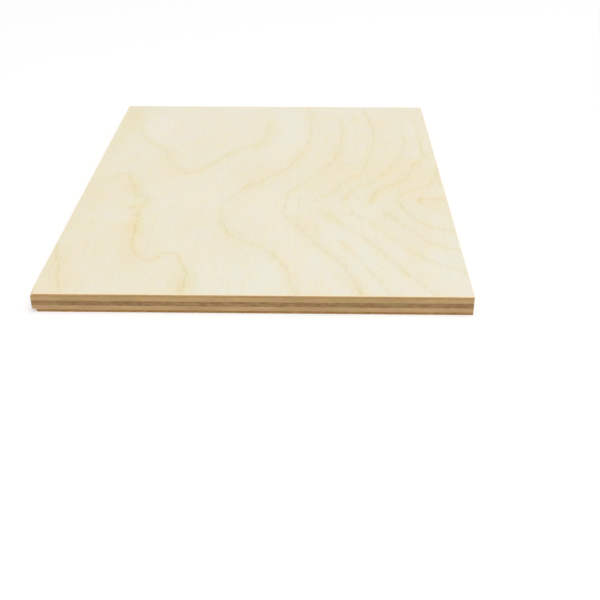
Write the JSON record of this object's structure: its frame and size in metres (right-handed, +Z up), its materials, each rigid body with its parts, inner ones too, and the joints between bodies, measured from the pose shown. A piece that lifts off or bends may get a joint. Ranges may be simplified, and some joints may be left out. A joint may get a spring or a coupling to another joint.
{
  "type": "plywood sheet",
  "caption": "Small flat sheet of birch plywood with crossed plies showing on its sawn edges, for use as panel or craft stock.",
  "frame": {"origin": "middle of the sheet's underside", "axes": "+Z up through the thickness, +Y along the long side and the grain of both faces, +X across the sheet; the worn front left corner is at -X, -Y"},
  "size_m": [0.1524, 0.2032, 0.0071],
  "materials": {
    "face_birch": "matte",
    "crossband_birch": "matte",
    "core_birch": "matte",
    "back_birch": "matte"
  },
  "bodies": {
    "root": {"face_veneer": "face_birch", "upper_crossband": "crossband_birch", "core_ply": "core_birch", "lower_crossband": "crossband_birch", "back_veneer": "back_birch"}
  },
  "joints": []
}
